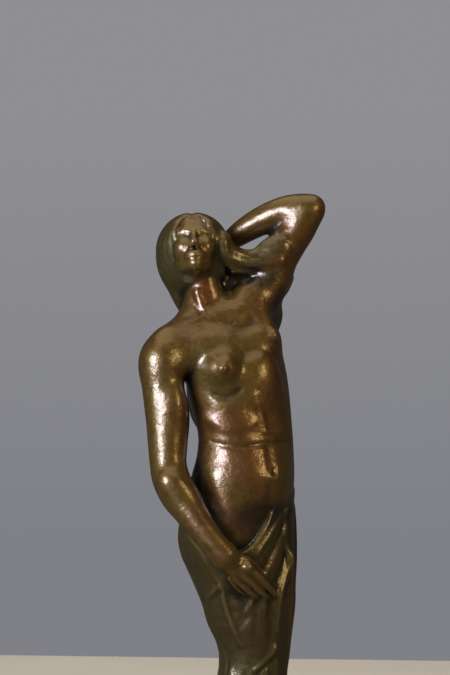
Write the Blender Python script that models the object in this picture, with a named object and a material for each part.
"""A bronze statuette: a draped standing figure, one arm raised behind the head and the other lowered.

The figure is three hollow or solid castings joined with tenons and pins. It stands on a cast ground
plate, which a stud and nut hold down on a turned wooden plinth with a felt foot. Metres, +Z up, origin
at the centre of the felt's underside. The face looks along -Y.
"""

import math

import bmesh
import bpy
from mathutils import Matrix, Vector

MM = 0.001

# ---- Driving dimensions -------------------------------------------------------------------------

STATURE = 300 * MM  # crown to sole
SEAM = 0.3 * MM  # gap left between two pieces that touch
WALL = 3.6 * MM  # bronze wall round the core of the body

FELT_THICKNESS = 1.5 * MM
FELT_MARGIN = 3 * MM  # the felt stops this far inside the plinth's edge

GROUND_RADIUS = STATURE * 38 / 300
PLINTH_LEDGE = 8 * MM  # how far the plinth's foot stands out past the ground plate
PLINTH_RADIUS = GROUND_RADIUS + PLINTH_LEDGE
PLINTH_HEIGHT = 28 * MM
PLINTH_STEP = 4 * MM  # height of the plain band at the plinth's foot
PLINTH_TOP_SETBACK = 5 * MM  # how far the top edge stands in from the foot
NUT_POCKET_RADIUS = 13 * MM
NUT_POCKET_DEPTH = 12 * MM

GROUND_HEIGHT = 10 * MM
GROUND_RECESS = 5 * MM  # depth hollowed out under the ground plate
GROUND_RIM = 5 * MM  # width of the rim round that recess

CORE_MOUTH_RADIUS = 12 * MM  # the body's open foot
CORE_MOUTH_DEPTH = 9 * MM
SPIGOT_HEIGHT = 3 * MM  # stands up from the ground plate into the core's mouth

STUD_RADIUS = 3 * MM
STUD_BOSS_RADIUS = 7 * MM
STUD_SEAT_DEPTH = 6 * MM  # how far the stud enters the ground plate from its underside
STUD_END = 2 * MM  # stud showing past the nut
WASHER_RADIUS = 9 * MM
WASHER_THICKNESS = 1.6 * MM
NUT_ACROSS_FLATS = 10 * MM
NUT_THICKNESS = 5 * MM

SCREW_RADIUS = 2 * MM
SCREW_HEAD_RADIUS = 3.5 * MM
SCREW_HEAD_HEIGHT = 2.6 * MM
SCREW_GRIP = 7 * MM  # thread inside the body's hem
SCREW_CIRCLE = CORE_MOUTH_RADIUS + SCREW_RADIUS + 3 * MM
SCREW_COUNT = 3
SLOT_WIDTH = 0.9 * MM
SLOT_DEPTH = 1.2 * MM

DOWEL_RADIUS = 1.5 * MM
DOWEL_DEPTH = 4 * MM  # into the ground plate, and again into the plinth
DOWEL_BOSS_RADIUS = 3.6 * MM
DOWEL_CIRCLE = 27 * MM
DOWEL_ANGLES = (20, 200)

STUB_CUT = STATURE * 0.08  # reach of the cutters that trim an arm and its stub square at the joint
TENON_LENGTH = 7 * MM
TENON_SHARE = 0.52  # tenon radius over the arm's radius at the joint
ARM_PIN_RADIUS = 1.1 * MM
HAND_PIN_RADIUS = 1 * MM
HAND_PIN_LENGTH = STATURE * 8 / 300
PLUG_RADIUS = 1.9 * MM
PLUG_PROUD = 0.15 * MM

# ---- Levels, bottom to top ----------------------------------------------------------------------

PLINTH_BASE = FELT_THICKNESS + SEAM
PLINTH_TOP = PLINTH_BASE + PLINTH_HEIGHT
GROUND_BASE = PLINTH_TOP + SEAM
GROUND_TOP = GROUND_BASE + GROUND_HEIGHT
FIGURE_BASE = GROUND_TOP + SEAM

# ---- The figure's shape, in parts: a part is 1/300 of the stature --------------------------------

PART = STATURE / 300

# Cross-sections of the trunk: height, centre x, centre y, half width, front, back, turn in degrees.
TRUNK = (
    (132, -1, 0, 27, 21, 21, 45),
    (150, -2, 0, 28.4, 21.6, 23.6, 45),
    (160, -1.6, 0, 28, 21.6, 23, 45),
    (168, -1, 0, 27.4, 21.6, 22, 44),
    (177, 0, 0, 26.8, 21.4, 19.8, 44),
    (193, 1.2, 0.8, 24.8, 19.2, 18, 42),
    (206, -0.6, 1.8, 25.4, 19, 18, 38),
    (224, -3.6, 3, 26.6, 18, 18.6, 34),
    (236, -6.6, 4, 27, 17, 18.6, 31),
    (245, -10, 5, 26.4, 14.6, 17, 29),
    (251, -13.6, 5.6, 21, 11.6, 14, 28),
    (257, -16.6, 6, 14, 9.4, 11, 26),
    (262, -18.6, 6, 9, 8, 9, 22),
)

# Cross-sections of the wrapped drapery, from the hem up.
DRAPERY = (
    (-3, 0, 0, 26.8, 26.2, 25.8, 30),
    (4, 0.2, -0.1, 26, 25.5, 25, 30),
    (20, 0.6, -0.4, 24, 23.5, 23, 30),
    (42, 1.8, -0.6, 20.6, 20.6, 19.6, 32),
    (64, 3.6, -1, 17.6, 17.6, 16.6, 34),
    (80, 4.9, -1.6, 16.4, 15.8, 15, 36),
    (88, 5.5, -1.8, 15.9, 15.2, 14.6, 38),
    (96, 5.2, -1.8, 17.2, 16.4, 15.8, 41),
    (106, 3.6, -1.4, 20, 18.8, 18.6, 43),
    (121, 1.6, -0.7, 23.4, 21.2, 21.2, 45),
    (136, -1.2, -0.1, 28, 24, 24.4, 45),
    (145, -2.2, 0, 30, 25, 25.6, 45),
    (153, -2, 0, 30, 25, 25.6, 45),
    (162, -1.7, 0, 29.2, 23.8, 24.8, 45),
)

# Round forms: name, centre, half sizes, turn about Z in degrees.
MASSES = (
    ("skull", (-24, 3, 284.5), (13.4, 16, 16.5), 0),
    ("hair_cap", (-24.4, 6.2, 286), (17.2, 16.2, 16), 0),
    ("jaw", (-23.4, -5.6, 279.6), (9, 8, 5.4), 0),
    ("right_breast", (-10.4, -12, 226), (11, 12, 10.8), 12),
    ("left_breast", (7.6, -0.4, 239), (10.6, 9.6, 9.6), 50),
    ("right_buttock", (-16, 4, 143), (15.4, 15.4, 18), 40),
    ("left_buttock", (-3, 14, 143), (15.4, 14.6, 18), 40),
    ("belly", (5.4, -6.6, 170), (15, 13.6, 16.6), 40),
    ("right_knee", (9, -7, 86), (10, 10, 13), 30),
    ("right_foot", (12, -19.5, 1), (6, 11, 6), 28),
    ("left_foot", (22, -8, 1), (5.6, 10, 5.6), 58),
)

# Limbs and locks of hair: stations along them, each x, y, z, radius.
NECK = ((-15, 6, 250, 9.8), (-18, 5, 262, 8.4), (-21.6, 4.6, 274, 8.4))
RIGHT_SHOULDER = ((-20, 0, 246, 9), (-32, -7, 242.6, 9.8), (-37.2, -10.4, 236, 10.8),
                  (-38, -12.4, 222, 10.6), (-37, -14.2, 210, 10.2))
LEFT_SHOULDER = ((-10, 8, 247, 9), (0, 11, 252, 10.4), (7.4, 14, 260, 10.4),
                 (13, 14.8, 271, 9.8), (18, 15, 281, 9.2), (22.6, 14.6, 290, 8.7))
HAIR_FALL = ((-30.6, 10, 281, 10.4), (-28.6, 13, 268, 9.6), (-23, 15, 257, 9), (-15, 18, 246, 7))
HAIR_SWEEP = ((-14, 12, 288, 5), (-6.6, 10, 280, 4.6), (3, 8, 275.6, 4.4), (12.4, 7.6, 275, 4.4))
HAIR_TAIL = ((12, 15, 272, 8), (13.4, 21, 266, 6.4), (9.8, 24, 255, 7), (6, 23, 243, 5.6))
NOSE = ((-26, -13.4, 290, 1.8), (-26, -15.4, 286.6, 2), (-26, -16.2, 283.4, 2.2))
LOCKS = (NOSE, NECK, RIGHT_SHOULDER, LEFT_SHOULDER, HAIR_FALL, HAIR_SWEEP, HAIR_TAIL)

# Folds of the cloth: each station is an angle round the body, a height and a radius. The angle counts
# from her left side, 0, by the front, 90, to her right, 180, and the back, 270.
FOLDS = (
    ((30, 164, 3), (52, 162, 3.4), (78, 156, 3.4), (104, 147, 3.2)),
    ((26, 154, 3), (52, 151, 3.2), (80, 146, 3.2), (100, 140, 3)),
    ((36, 148, 2.6), (44, 130, 3), (52, 108, 3), (56, 90, 2.6), (48, 60, 2.8), (44, 4, 3.4)),
    ((96, 124, 3.2), (92, 100, 3), (94, 80, 2.8), (98, 50, 3), (100, 4, 3.6)),
    ((74, 122, 3), (74, 96, 2.6), (70, 60, 2.8), (72, 4, 3.4)),
    ((200, 132, 3), (186, 108, 3), (160, 90, 2.6), (166, 50, 3), (172, 4, 3.6)),
    ((262, 128, 3), (262, 100, 3), (250, 60, 3), (244, 4, 3.6)),
    ((318, 130, 3), (312, 96, 2.8), (318, 50, 3), (322, 4, 3.6)),
)

# The arms run on from the shoulders: the first two stations lie inside the body's stub.
LOWERED_ARM = ((-38, -12.4, 222, 10.6), (-37, -14.2, 210, 10.2), (-35.8, -16.6, 197, 9.8),
               (-35.4, -19.4, 184, 8.8), (-32.4, -23, 172, 8.7), (-25.2, -27.4, 160.6, 7.6),
               (-16.4, -31.4, 149, 6.3), (-9, -33, 141, 5.4))
LOWERED_HAND = ((-9, -33, 141, 5), (-3.4, -33.6, 136.6, 5.6), (1.6, -32.8, 131.6, 5.6),
                (6.6, -31.2, 126.4, 4.2), (11, -28.8, 121.4, 2.6))
RAISED_ARM = ((18, 15, 281, 9.2), (22.6, 14.6, 290, 8.7), (27.4, 14, 298.6, 7.6),
              (30, 13.4, 303, 6.8))
RAISED_FOREARM = ((30.6, 13.4, 303.6, 6.4), (22, 15.4, 303, 7.2), (8, 19, 298.4, 6.5),
                  (-5.6, 22.6, 291.4, 4.6), (-14, 24.4, 286, 4.8), (-22, 24.4, 281, 4.2))
ELBOW_TIP = ((30, 13.4, 304, 5.6), (33.2, 13, 305.6, 3.4))

# Joint faces square to the arm: a station on the arm's line where each casting ends.
LOWERED_JOINT = ((-38, -12.4, 222), (-37, -14.2, 210))
RAISED_JOINT = ((18, 15, 281), (22.6, 14.6, 290))

# Where a hand is pinned to what it lies on: inside the hand, and the way into the body.
LOWERED_HAND_PIN = ((-1, -33, 134), (0.35, 0.93, 0))
RAISED_HAND_PIN = ((-17, 24.2, 284), (-0.4, -0.9, 0))

# Plugs in the core's vent holes: a point inside the body, and the way out to its back.
PLUGS = {"core_plug_back": ((-8, 6, 224), (-0.3, 1, 0)), "core_plug_waist": ((-4, 0, 172), (-0.2, 1, 0)),
         "core_plug_skirt": ((0, 0, 104), (-0.3, 1, 0))}

SIDES = 20
BRONZE = ("bronze", (0.30, 0.19, 0.075, 1), 0.34, 1.0)
RAW_BRONZE = ("raw_bronze", (0.50, 0.33, 0.12, 1), 0.42, 1.0)
STEEL = ("steel", (0.42, 0.42, 0.40, 1), 0.40, 1.0)
WOOD = ("ebonised_wood", (0.02, 0.016, 0.013, 1), 0.3, 0.0)
FELT = ("felt", (0.03, 0.10, 0.05, 1), 0.95, 0.0)


# ---- Helpers ------------------------------------------------------------------------------------


def clear_scene():
    for item in list(bpy.data.objects):
        bpy.data.objects.remove(item)


def material(name, colour, roughness, metallic):
    made = bpy.data.materials.get(name)
    if made is None:
        made = bpy.data.materials.new(name)
        made.use_nodes = True
        shader = made.node_tree.nodes["Principled BSDF"]
        shader.inputs["Base Color"].default_value = colour
        shader.inputs["Roughness"].default_value = roughness
        shader.inputs["Metallic"].default_value = metallic
    return made


def in_figure(point):
    """A point given in parts of the figure, in metres."""
    x, y, z = point
    return Vector((x * PART, y * PART, z * PART + FIGURE_BASE))


def object_from(name, shape, finish=None):
    """A named object from a bmesh. Without a finish it is a helper that only cuts or joins."""
    bmesh.ops.recalc_face_normals(shape, faces=shape.faces)
    mesh = bpy.data.meshes.new(name)
    shape.to_mesh(mesh)
    shape.free()
    made = bpy.data.objects.new(name, mesh)
    bpy.context.scene.collection.objects.link(made)
    if finish is None:
        made.hide_render = True
        made.display_type = "WIRE"
    else:
        mesh.materials.append(material(*finish))
        mesh.shade_smooth()
        mesh.set_sharp_from_angle(angle=math.radians(40))
    return made


def skin(shape, rings):
    """Joins rings of vertices into a closed tube with flat ends."""
    made = [[shape.verts.new(point) for point in ring] for ring in rings]
    for below, above in zip(made, made[1:]):
        for i in range(len(below)):
            j = (i + 1) % len(below)
            shape.faces.new((below[i], below[j], above[j], above[i]))
    shape.faces.new(made[0][::-1])
    shape.faces.new(made[-1])


def section_ring(section, grow=0.0):
    """The outline of one cross-section of the trunk or the drapery, in metres."""
    height, cx, cy, width, front, back, turn = section
    centre = in_figure((cx, cy, height))
    turn = math.radians(turn)
    side = Vector((math.cos(turn), math.sin(turn), 0))
    ahead = Vector((math.sin(turn), -math.cos(turn), 0))
    ring = []
    for i in range(SIDES):
        angle = math.tau * i / SIDES
        depth = front if math.sin(angle) > 0 else back
        across = (width * PART + grow) * math.cos(angle)
        along = (depth * PART + grow) * math.sin(angle)
        ring.append(centre + side * across + ahead * along)
    return ring


def on_cloth(angle, height):
    """A point on the drapery's surface, in parts of the figure."""
    for low, high in zip(DRAPERY, DRAPERY[1:]):
        if height <= high[0]:
            break
    share = (height - low[0]) / (high[0] - low[0])
    _, cx, cy, width, front, back, turn = (a + (b - a) * share for a, b in zip(low, high))
    angle, turn = math.radians(angle), math.radians(turn)
    across = width * math.cos(angle)
    along = (front if math.sin(angle) > 0 else back) * math.sin(angle)
    x = cx + across * math.cos(turn) + along * math.sin(turn)
    y = cy + across * math.sin(turn) - along * math.cos(turn)
    return x, y, height


def square_to(direction):
    """A rotation whose Z axis lies along the direction."""
    return direction.to_track_quat("Z", "Y").to_matrix()


def limb_rings(stations, grow=0.0):
    """Rings square to a limb's line, with rounded ends."""
    points = [in_figure(station[:3]) for station in stations]
    radii = [station[3] * PART + grow for station in stations]
    rings = []

    def add(centre, direction, radius):
        turn = square_to(direction)
        for_ring = []
        for i in range(SIDES - 4):
            angle = math.tau * i / (SIDES - 4)
            for_ring.append(centre + turn @ Vector((radius * math.cos(angle), radius * math.sin(angle), 0)))
        rings.append(for_ring)

    first, last = points[1] - points[0], points[-1] - points[-2]
    for angle in (75, 45, 20):
        swing = math.radians(angle)
        add(points[0] - first.normalized() * radii[0] * math.sin(swing), first, radii[0] * math.cos(swing))
    for i, point in enumerate(points):
        before, after = points[max(i - 1, 0)], points[min(i + 1, len(points) - 1)]
        add(point, after - before, radii[i])
    for angle in (20, 45, 75):
        swing = math.radians(angle)
        add(points[-1] + last.normalized() * radii[-1] * math.sin(swing), last, radii[-1] * math.cos(swing))
    return rings


def add_limb(shape, stations, grow=0.0):
    skin(shape, limb_rings(stations, grow))


def add_mass(shape, centre, half_sizes, turn):
    place = Matrix.Translation(in_figure(centre)) @ Matrix.Rotation(math.radians(turn), 4, "Z")
    size = Matrix.Diagonal([*(half * PART for half in half_sizes), 1])
    bmesh.ops.create_uvsphere(shape, u_segments=20, v_segments=14, radius=1, matrix=place @ size)


def rod(name, start, end, radius, finish=None, sides=20):
    """A round bar from start to end."""
    shape = bmesh.new()
    way = end - start
    place = Matrix.Translation((start + end) / 2) @ square_to(way).to_4x4()
    bmesh.ops.create_cone(
        shape, cap_ends=True, segments=sides, radius1=radius, radius2=radius, depth=way.length, matrix=place,
    )
    return object_from(name, shape, finish)


def turned(name, profile, finish=None, sides=48):
    """A solid turned about Z from its outline: radius and height, from the top's axis down the outside."""
    shape = bmesh.new()
    outline = [shape.verts.new((radius, 0, height)) for radius, height in profile]
    edges = [shape.edges.new(pair) for pair in zip(outline, outline[1:])]
    bmesh.ops.spin(
        shape, geom=outline + edges, cent=(0, 0, 0), axis=(0, 0, 1), angle=math.tau, steps=sides,
        use_merge=True,
    )
    bmesh.ops.remove_doubles(shape, verts=shape.verts, dist=0.00001)
    return object_from(name, shape, finish)


def boolean(target, tool, operation="DIFFERENCE"):
    change = target.modifiers.new(f"{operation.lower()} {tool.name}", "BOOLEAN")
    change.operation = operation
    change.object = tool
    change.solver = "EXACT"


def below(name, height, size):
    """A block that fills everything under a height."""
    shape = bmesh.new()
    bmesh.ops.create_cube(shape, size=size, matrix=Matrix.Translation((0, 0, height - size / 2)))
    return object_from(name, shape)


def skin_at(made, origin, way):
    """Where a line from inside a body comes out of its skin, and the skin's direction there."""
    bpy.context.view_layer.update()
    shown = made.evaluated_get(bpy.context.evaluated_depsgraph_get())
    found, point, normal, _ = shown.ray_cast(origin, way)
    return point, normal


def fuse(made, cell, relax, keep):
    """Turns overlapping forms into one skin: remeshed, relaxed and thinned to a share of its triangles."""
    remesh = made.modifiers.new("one skin", "REMESH")
    remesh.mode = "VOXEL"
    remesh.voxel_size = cell
    remesh.use_smooth_shade = True
    smooth = made.modifiers.new("relax", "SMOOTH")
    smooth.factor = 0.5
    smooth.iterations = relax
    thin = made.modifiers.new("thin", "DECIMATE")
    thin.ratio = keep


# ---- Castings -----------------------------------------------------------------------------------


def joint_plane(pair):
    """The point and direction of an arm's joint face: halfway between two stations of the arm."""
    low, high = (in_figure(point) for point in pair)
    return (low + high) / 2, (high - low).normalized()


def joint_radius(stations):
    return (stations[0][3] + stations[1][3]) / 2 * PART


def tenon(name, pair, radius, grow=0.0):
    """The spigot of an arm that enters the body's stub, or, grown, the socket that takes it."""
    point, direction = joint_plane(pair)
    return rod(name, point - direction * (TENON_LENGTH + grow), point + direction * TENON_LENGTH / 2,
               radius + grow, sides=20)


def body_forms():
    """Everything that the body casting shows, as overlapping closed forms."""
    shape = bmesh.new()
    skin(shape, [section_ring(section) for section in TRUNK])
    skin(shape, [section_ring(section) for section in DRAPERY])
    for stations in LOCKS:
        add_limb(shape, stations)
    for fold in FOLDS:
        add_limb(shape, [(*on_cloth(angle, height), radius) for angle, height, radius in fold])
    for _, centre, half_sizes, turn in MASSES:
        add_mass(shape, centre, half_sizes, turn)
    return object_from("body_casting", shape, BRONZE)


def core():
    """The hollow that the core left in the body: open at the foot, closed in the chest."""
    shape = bmesh.new()
    top, bottom = 236, 20
    mouth = []
    for height in (FIGURE_BASE - WALL, FIGURE_BASE + CORE_MOUTH_DEPTH):
        ring = []
        for i in range(SIDES):
            angle = math.radians(DRAPERY[0][6]) - math.tau * i / SIDES
            way = Vector((math.cos(angle), math.sin(angle), 0))
            ring.append(way * CORE_MOUTH_RADIUS + Vector((0, 0, height)))
        mouth.append(ring)
    inner = [s for s in DRAPERY if bottom < s[0] <= 136] + [s for s in TRUNK if 150 <= s[0] <= top]
    skin(shape, mouth + [section_ring(section, -WALL - 1.2 * MM) for section in inner])
    return object_from("cut_core", shape)


def make_body():
    body = body_forms()
    fuse(body, cell=1.9 * MM, relax=3, keep=0.085)
    boolean(body, below("cut_below_hem", FIGURE_BASE, STATURE))
    joints = ((LOWERED_JOINT, LOWERED_ARM, "lowered"), (RAISED_JOINT, RAISED_ARM, "raised"))
    for pair, stations, name in joints:
        point, direction = joint_plane(pair)
        cap = rod(f"cut_{name}_stub", point, point + direction * STUB_CUT, joint_radius(stations) * 1.5)
        boolean(body, cap)
        boolean(body, tenon(f"cut_{name}_socket", pair, joint_radius(stations) * TENON_SHARE, SEAM))
    return body


def clear_of(body, name, limbs):
    """Cuts room in the body for an arm that lies against it."""
    shape = bmesh.new()
    for stations in limbs:
        add_limb(shape, stations, grow=SEAM + 0.25 * MM)
    room = object_from(f"cut_room_{name}", shape)
    remesh = room.modifiers.new("one skin", "REMESH")
    remesh.mode = "VOXEL"
    remesh.voxel_size = 1.6 * MM
    boolean(body, room)


def make_arm(name, pair, limbs):
    """An arm casting: the limbs fused, cut square at the joint, with its tenon."""
    shape = bmesh.new()
    for stations in limbs:
        add_limb(shape, stations)
    arm = object_from(name, shape, BRONZE)
    fuse(arm, cell=1.5 * MM, relax=2, keep=0.14)
    point, direction = joint_plane(pair)
    root = point + direction * SEAM
    boolean(arm, rod(f"cut_{name}_root", root - direction * STUB_CUT, root, joint_radius(limbs[0]) * 1.5))
    boolean(arm, tenon(f"join_{name}_tenon", pair, joint_radius(limbs[0]) * TENON_SHARE), "UNION")
    return arm


def make_pin(name, castings, start, end, radius, opening=SEAM):
    """A pin from start to end through both castings, and its hole, which runs on by the opening."""
    way = (end - start).normalized()
    rod(name, start, end, radius, RAW_BRONZE, sides=16)
    hole = rod(f"cut_{name}", start - way * SEAM, end + way * opening, radius + SEAM, sides=16)
    for casting in castings:
        boolean(casting, hole)


# ---- Base and fixings ---------------------------------------------------------------------------


def around(count_or_angles, radius):
    angles = [360 * i / count_or_angles for i in range(count_or_angles)] \
        if isinstance(count_or_angles, int) else count_or_angles
    ways = [Vector((math.cos(math.radians(a)), math.sin(math.radians(a)), 0)) for a in angles]
    return [radius * way for way in ways]


def upright(name, spot, low, high, radius, finish=None, sides=20):
    return rod(name, Vector((spot.x, spot.y, low)), Vector((spot.x, spot.y, high)), radius, finish, sides)


def make_ground():
    """The cast ground plate: a shallow mound with a hollow underside, bosses and a spigot."""
    top, rim = GROUND_TOP, GROUND_RADIUS
    ground = turned("ground_plate", (
        (0, top + SPIGOT_HEIGHT), (CORE_MOUTH_RADIUS - SEAM, top + SPIGOT_HEIGHT),
        (CORE_MOUTH_RADIUS - SEAM, top),
        (rim - 6.5 * MM, top), (rim - 4 * MM, top - 0.8 * MM), (rim - 1.8 * MM, top - 2.4 * MM),
        (rim - 0.5 * MM, top - 4.6 * MM), (rim, top - 7 * MM), (rim, GROUND_BASE), (0, GROUND_BASE),
    ), BRONZE)
    recess = turned("cut_ground_recess", (
        (0, GROUND_BASE + GROUND_RECESS), (rim - GROUND_RIM, GROUND_BASE + GROUND_RECESS),
        (rim - GROUND_RIM, GROUND_BASE - SEAM), (0, GROUND_BASE - SEAM),
    ), sides=40)
    boolean(ground, recess)
    lap = 1 * MM
    bosses = [(Vector((0, 0, 0)), STUD_BOSS_RADIUS)]
    bosses += [(spot, DOWEL_BOSS_RADIUS) for spot in around(DOWEL_ANGLES, DOWEL_CIRCLE)]
    for i, (spot, radius) in enumerate(bosses):
        boss = upright(f"join_boss_{i}", spot, GROUND_BASE, GROUND_BASE + GROUND_RECESS + lap, radius)
        boolean(ground, boss, "UNION")
    return ground


def make_plinth():
    foot, top, step = PLINTH_RADIUS, PLINTH_TOP, PLINTH_BASE + PLINTH_STEP
    inset = PLINTH_TOP_SETBACK
    sweep = [(foot - 2 * MM - (inset - 2 * MM) * math.sin(math.radians(a)),
              step + 1.5 * MM + (PLINTH_HEIGHT - PLINTH_STEP - 7 * MM) * (1 - math.cos(math.radians(a))))
             for a in range(90, -1, -15)]
    plinth = turned("wooden_plinth", (
        (0, top), (foot - inset + 0.6 * MM, top), (foot - inset + 1.6 * MM, top - 1 * MM),
        (foot - inset + 1.6 * MM, top - 3.4 * MM), (foot - inset + 0.8 * MM, top - 4.2 * MM), *sweep,
        (foot - 0.8 * MM, step + 0.8 * MM), (foot, step), (foot, PLINTH_BASE + 0.6 * MM),
        (foot - 0.6 * MM, PLINTH_BASE), (0, PLINTH_BASE),
    ), WOOD)
    centre = Vector((0, 0, 0))
    boolean(plinth, upright("cut_stud_bore", centre, PLINTH_BASE, PLINTH_TOP + SEAM, STUD_RADIUS + 2 * SEAM))
    pocket_top = PLINTH_BASE + NUT_POCKET_DEPTH
    pocket = upright("cut_nut_pocket", centre, PLINTH_BASE - SEAM, pocket_top, NUT_POCKET_RADIUS, sides=40)
    boolean(plinth, pocket)
    return plinth


def make_stud_set(ground):
    """The stud that ties ground plate and plinth together, with its washer and nut."""
    centre = Vector((0, 0, 0))
    washer_top = PLINTH_BASE + NUT_POCKET_DEPTH - SEAM
    washer_base = washer_top - WASHER_THICKNESS
    nut_top = washer_base - SEAM
    nut_base = nut_top - NUT_THICKNESS
    stud_top = GROUND_BASE + STUD_SEAT_DEPTH
    upright("plinth_stud", centre, nut_base - STUD_END, stud_top, STUD_RADIUS, STEEL)
    boolean(ground, upright("cut_stud_seat", centre, GROUND_BASE - SEAM, stud_top + SEAM, STUD_RADIUS + SEAM))
    washer = upright("plinth_washer", centre, washer_base, washer_top, WASHER_RADIUS, STEEL, sides=40)
    nut_radius = NUT_ACROSS_FLATS / 2 / math.cos(math.pi / 6)
    nut = upright("plinth_nut", centre, nut_base, nut_top, nut_radius, STEEL, sides=6)
    bore = upright("cut_fixing_bore", centre, nut_base - SEAM, washer_top + SEAM, STUD_RADIUS + SEAM)
    for piece in (washer, nut):
        boolean(piece, bore)


def make_screws(ground, body):
    """Slotted screws that pull the figure down on the ground plate from below."""
    seat = GROUND_BASE + GROUND_RECESS - SEAM
    tip = FIGURE_BASE + SCREW_GRIP
    for i, spot in enumerate(around(SCREW_COUNT, SCREW_CIRCLE), 1):
        name = f"figure_screw_{i}"
        screw = upright(name, spot, seat - SCREW_HEAD_HEIGHT, seat, SCREW_HEAD_RADIUS, STEEL)
        shank = upright(f"join_{name}_shank", spot, seat - SCREW_HEAD_HEIGHT / 2, tip, SCREW_RADIUS)
        boolean(screw, shank, "UNION")
        slot = bmesh.new()
        low = seat - SCREW_HEAD_HEIGHT
        place = Matrix.Translation((spot.x, spot.y, low)) @ Matrix.Diagonal(
            (4 * SCREW_HEAD_RADIUS, SLOT_WIDTH, 2 * SLOT_DEPTH, 1))
        bmesh.ops.create_cube(slot, size=1, matrix=place)
        boolean(screw, object_from(f"cut_{name}_slot", slot))
        hole = upright(f"cut_{name}_hole", spot, seat - SEAM, tip + SEAM, SCREW_RADIUS + SEAM)
        boolean(ground, hole)
        boolean(body, hole)


def make_dowels(ground, plinth):
    """Dowels that stop the ground plate from turning on the plinth."""
    for i, spot in enumerate(around(DOWEL_ANGLES, DOWEL_CIRCLE), 1):
        low, high = PLINTH_TOP - DOWEL_DEPTH, GROUND_BASE + DOWEL_DEPTH
        upright(f"locating_dowel_{i}", spot, low, high, DOWEL_RADIUS, RAW_BRONZE, sides=16)
        hole = upright(f"cut_dowel_hole_{i}", spot, low - SEAM, high + SEAM, DOWEL_RADIUS + SEAM, sides=16)
        boolean(ground, hole)
        boolean(plinth, hole)


def make_plugs(body):
    """Plugs that close the vent holes in the back of the body, flush with its skin."""
    for name, (inside, way) in PLUGS.items():
        point, out = skin_at(body, in_figure(inside), Vector(way).normalized())
        rod(name, point - out * WALL, point + out * PLUG_PROUD, PLUG_RADIUS, BRONZE, sides=16)
        hole = rod(f"cut_{name}", point - out * 2.5 * WALL, point + out * WALL, PLUG_RADIUS + SEAM, sides=16)
        boolean(body, hole)


def make_felt():
    radius = PLINTH_RADIUS - FELT_MARGIN
    turned("felt_foot", (
        (0, FELT_THICKNESS), (radius - 0.3 * MM, FELT_THICKNESS), (radius, FELT_THICKNESS / 2),
        (radius - 0.3 * MM, 0), (0, 0),
    ), FELT)


def main():
    clear_scene()
    lowered_limbs = (LOWERED_ARM, LOWERED_HAND)
    raised_limbs = (RAISED_ARM, RAISED_FOREARM, ELBOW_TIP)
    body = make_body()
    clear_of(body, "lowered", (LOWERED_ARM[2:], LOWERED_HAND))
    clear_of(body, "raised", (RAISED_ARM[1:], RAISED_FOREARM))
    make_plugs(body)
    boolean(body, core())
    lowered = make_arm("lowered_arm", LOWERED_JOINT, lowered_limbs)
    raised = make_arm("raised_arm", RAISED_JOINT, raised_limbs)

    for name, pair, arm, limb in (("lowered_arm_pin", LOWERED_JOINT, lowered, LOWERED_ARM),
                                  ("raised_arm_pin", RAISED_JOINT, raised, RAISED_ARM)):
        point, direction = joint_plane(pair)
        centre = point - direction * TENON_LENGTH / 2
        across = direction.cross(Vector((0, 1, 0))).cross(direction).normalized()
        reach = joint_radius(limb)
        start, end = centre - across * reach * 0.75, centre + across * reach
        make_pin(name, (body, arm), start, end, ARM_PIN_RADIUS, reach)
    for name, (spot, way), arm in (("lowered_hand_pin", LOWERED_HAND_PIN, lowered),
                                   ("raised_hand_pin", RAISED_HAND_PIN, raised)):
        start = in_figure(spot)
        end = start + Vector(way).normalized() * HAND_PIN_LENGTH
        make_pin(name, (body, arm), start, end, HAND_PIN_RADIUS)

    ground = make_ground()
    plinth = make_plinth()
    make_stud_set(ground)
    make_screws(ground, body)
    make_dowels(ground, plinth)
    make_felt()


main()
